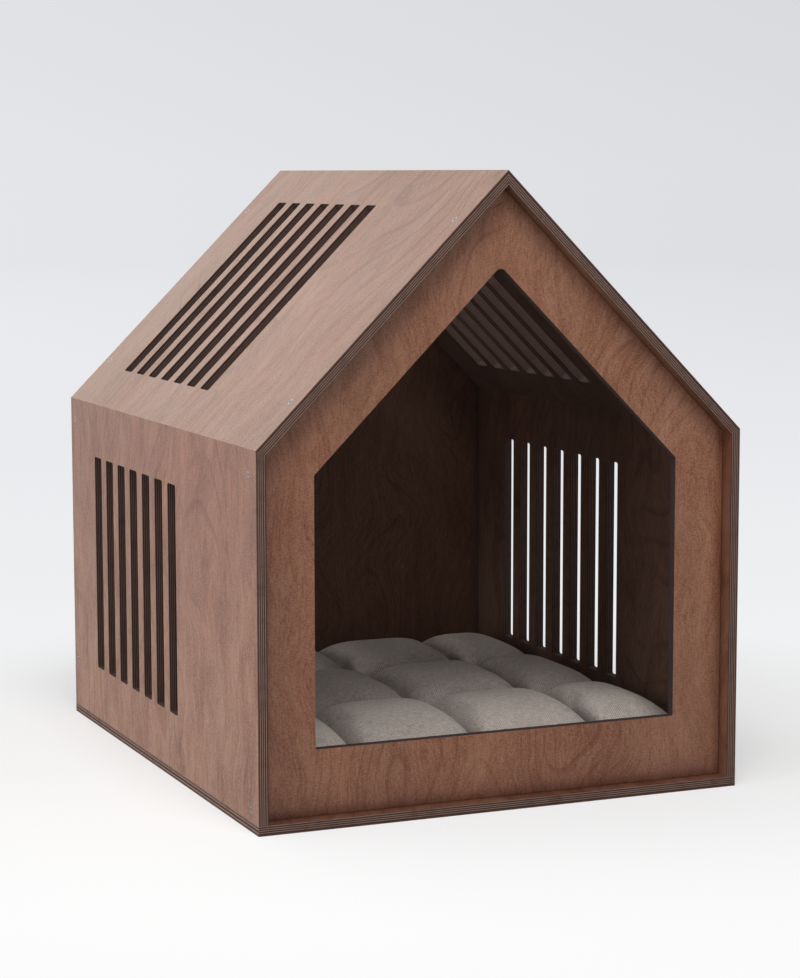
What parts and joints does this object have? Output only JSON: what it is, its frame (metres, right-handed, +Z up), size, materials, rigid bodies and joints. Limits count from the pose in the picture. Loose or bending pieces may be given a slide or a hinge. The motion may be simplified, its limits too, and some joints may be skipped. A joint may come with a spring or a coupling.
{
  "type": "wooden dog house",
  "caption": "Gabled indoor dog house of stained plywood with a house-shaped doorway, slotted walls and roof, and a loose tufted cushion.",
  "frame": {"origin": "middle of the footprint of the closed box around the house, on the floor it stands on", "axes": "+X to the right of someone facing the doorway, +Y from the doorway to the back, +Z up"},
  "size_m": [0.62, 0.75, 0.75],
  "materials": {
    "plywood": "birch plywood stained reddish brown, matt, dark layered edges",
    "cushion_fabric": "warm grey linen weave",
    "screw_steel": "zinc plated"
  },
  "bodies": {
    "house": {"floor_panel": "plywood", "left_wall_panel": "plywood", "right_wall_panel": "plywood", "left_roof_panel": "plywood", "right_roof_panel": "plywood", "front_panel": "plywood", "back_panel": "plywood", "floor_screws": "screw_steel", "left_wall_screws": "screw_steel", "right_wall_screws": "screw_steel", "left_roof_screws": "screw_steel", "right_roof_screws": "screw_steel"},
    "cushion": {"cushion": "cushion_fabric"}
  },
  "joints": [
    {"name": "cushion_lift", "type": "slide", "parent": "house", "child": "cushion", "axis": [0, 0, 1], "range_m": [0, 0.12]}
  ]
}
